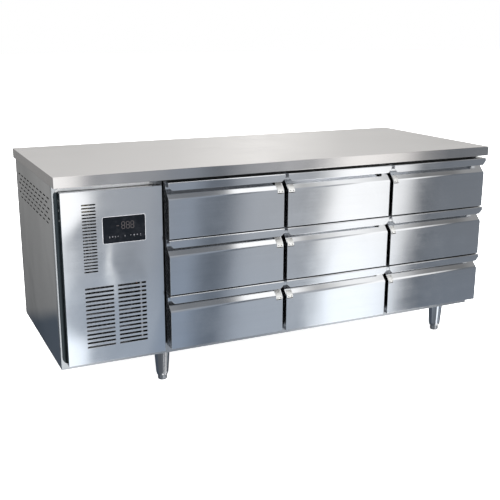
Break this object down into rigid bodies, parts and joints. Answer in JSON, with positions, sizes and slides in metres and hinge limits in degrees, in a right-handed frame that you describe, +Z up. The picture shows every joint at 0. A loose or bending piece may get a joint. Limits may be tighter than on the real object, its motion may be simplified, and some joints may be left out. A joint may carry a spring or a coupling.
{
  "type": "under-counter refrigerator",
  "caption": "Stainless-steel under-counter fridge with stacked drawers beside a slotted machine compartment with a touch display, on short adjustable legs",
  "frame": {"origin": "on the floor, under the middle of the bounding box", "axes": "+X right along the drawers as the user sees them, -Y out of the drawer fronts, +Z up"},
  "size_m": [1.8, 0.745, 0.823],
  "materials": {
    "worktop_steel": "matte",
    "front_steel": "satin",
    "panel_steel": "satin",
    "frame_steel": "satin",
    "casing_steel": "satin",
    "interior_steel": "satin",
    "leg_steel": "polished",
    "foot_steel": "satin",
    "foam": "matte",
    "gasket_rubber": "matte",
    "display_black": "gloss",
    "black_paint": "satin",
    "fan_plastic": "matte",
    "fin_aluminium": "matte",
    "gland_plastic": "matte"
  },
  "bodies": {
    "cabinet": {"worktop": "worktop_steel", "side_panel_left": "casing_steel", "side_panel_right": "casing_steel", "back_panel": "casing_steel", "base_panel": "casing_steel", "front_frame": "frame_steel", "insulation_body": "foam", "inner_liner": "interior_steel", "column_upright_1": "interior_steel", "column_upright_2": "interior_steel", "runner_rack_c1_left": "interior_steel", "runner_rack_c1_right": "interior_steel", "runner_rack_c2_left": "interior_steel", "runner_rack_c2_right": "interior_steel", "runner_rack_c3_left": "interior_steel", "runner_rack_c3_right": "interior_steel", "leg_sleeve_left_front": "leg_steel", "leg_sleeve_left_rear": "leg_steel", "leg_sleeve_right_front": "leg_steel", "leg_sleeve_right_rear": "leg_steel", "compressor": "black_paint", "condenser": "fin_aluminium", "condenser_fan_motor": "black_paint", "evaporator_cover": "interior_steel", "evaporator_coil": "fin_aluminium", "power_gland": "gland_plastic"},
    "drawer_c1r1": {"drawer_front_c1r1": "front_steel", "drawer_gasket_c1r1": "gasket_rubber", "drawer_box_c1r1": "interior_steel"},
    "drawer_c1r2": {"drawer_front_c1r2": "front_steel", "drawer_gasket_c1r2": "gasket_rubber", "drawer_box_c1r2": "interior_steel"},
    "drawer_c1r3": {"drawer_front_c1r3": "front_steel", "drawer_gasket_c1r3": "gasket_rubber", "drawer_box_c1r3": "interior_steel"},
    "drawer_c2r1": {"drawer_front_c2r1": "front_steel", "drawer_gasket_c2r1": "gasket_rubber", "drawer_box_c2r1": "interior_steel"},
    "drawer_c2r2": {"drawer_front_c2r2": "front_steel", "drawer_gasket_c2r2": "gasket_rubber", "drawer_box_c2r2": "interior_steel"},
    "drawer_c2r3": {"drawer_front_c2r3": "front_steel", "drawer_gasket_c2r3": "gasket_rubber", "drawer_box_c2r3": "interior_steel"},
    "drawer_c3r1": {"drawer_front_c3r1": "front_steel", "drawer_gasket_c3r1": "gasket_rubber", "drawer_box_c3r1": "interior_steel"},
    "drawer_c3r2": {"drawer_front_c3r2": "front_steel", "drawer_gasket_c3r2": "gasket_rubber", "drawer_box_c3r2": "interior_steel"},
    "drawer_c3r3": {"drawer_front_c3r3": "front_steel", "drawer_gasket_c3r3": "gasket_rubber", "drawer_box_c3r3": "interior_steel"},
    "service_panel_body": {"service_panel": "panel_steel", "controller_display": "display_black"},
    "condenser_fan_rotor": {"condenser_fan": "fan_plastic"},
    "leveling_foot_left_front": {"leveling_foot_left_front": "foot_steel"},
    "leveling_foot_left_rear": {"leveling_foot_left_rear": "foot_steel"},
    "leveling_foot_right_front": {"leveling_foot_right_front": "foot_steel"},
    "leveling_foot_right_rear": {"leveling_foot_right_rear": "foot_steel"}
  },
  "joints": [
    {"name": "drawer_c1r1_slide", "type": "slide", "parent": "cabinet", "child": "drawer_c1r1", "axis": [0, -1, 0], "range_m": [0, 0.42]},
    {"name": "drawer_c1r2_slide", "type": "slide", "parent": "cabinet", "child": "drawer_c1r2", "axis": [0, -1, 0], "range_m": [0, 0.42]},
    {"name": "drawer_c1r3_slide", "type": "slide", "parent": "cabinet", "child": "drawer_c1r3", "axis": [0, -1, 0], "range_m": [0, 0.42]},
    {"name": "drawer_c2r1_slide", "type": "slide", "parent": "cabinet", "child": "drawer_c2r1", "axis": [0, -1, 0], "range_m": [0, 0.42]},
    {"name": "drawer_c2r2_slide", "type": "slide", "parent": "cabinet", "child": "drawer_c2r2", "axis": [0, -1, 0], "range_m": [0, 0.42]},
    {"name": "drawer_c2r3_slide", "type": "slide", "parent": "cabinet", "child": "drawer_c2r3", "axis": [0, -1, 0], "range_m": [0, 0.42]},
    {"name": "drawer_c3r1_slide", "type": "slide", "parent": "cabinet", "child": "drawer_c3r1", "axis": [0, -1, 0], "range_m": [0, 0.42]},
    {"name": "drawer_c3r2_slide", "type": "slide", "parent": "cabinet", "child": "drawer_c3r2", "axis": [0, -1, 0], "range_m": [0, 0.42]},
    {"name": "drawer_c3r3_slide", "type": "slide", "parent": "cabinet", "child": "drawer_c3r3", "axis": [0, -1, 0], "range_m": [0, 0.42]},
    {"name": "service_panel_off", "type": "slide", "parent": "cabinet", "child": "service_panel_body", "axis": [0, -1, 0], "range_m": [0, 0.15]},
    {"name": "condenser_fan_spin", "type": "hinge", "parent": "cabinet", "child": "condenser_fan_rotor", "pos_m": [-0.7275, -0.15875, 0.29], "axis": [0, 1, 0], "continuous": true},
    {"name": "leveling_foot_left_front_adjust", "type": "slide", "parent": "cabinet", "child": "leveling_foot_left_front", "axis": [0, 0, -1], "range_m": [0, 0.025]},
    {"name": "leveling_foot_left_rear_adjust", "type": "slide", "parent": "cabinet", "child": "leveling_foot_left_rear", "axis": [0, 0, -1], "range_m": [0, 0.025]},
    {"name": "leveling_foot_right_front_adjust", "type": "slide", "parent": "cabinet", "child": "leveling_foot_right_front", "axis": [0, 0, -1], "range_m": [0, 0.025]},
    {"name": "leveling_foot_right_rear_adjust", "type": "slide", "parent": "cabinet", "child": "leveling_foot_right_rear", "axis": [0, 0, -1], "range_m": [0, 0.025]}
  ]
}
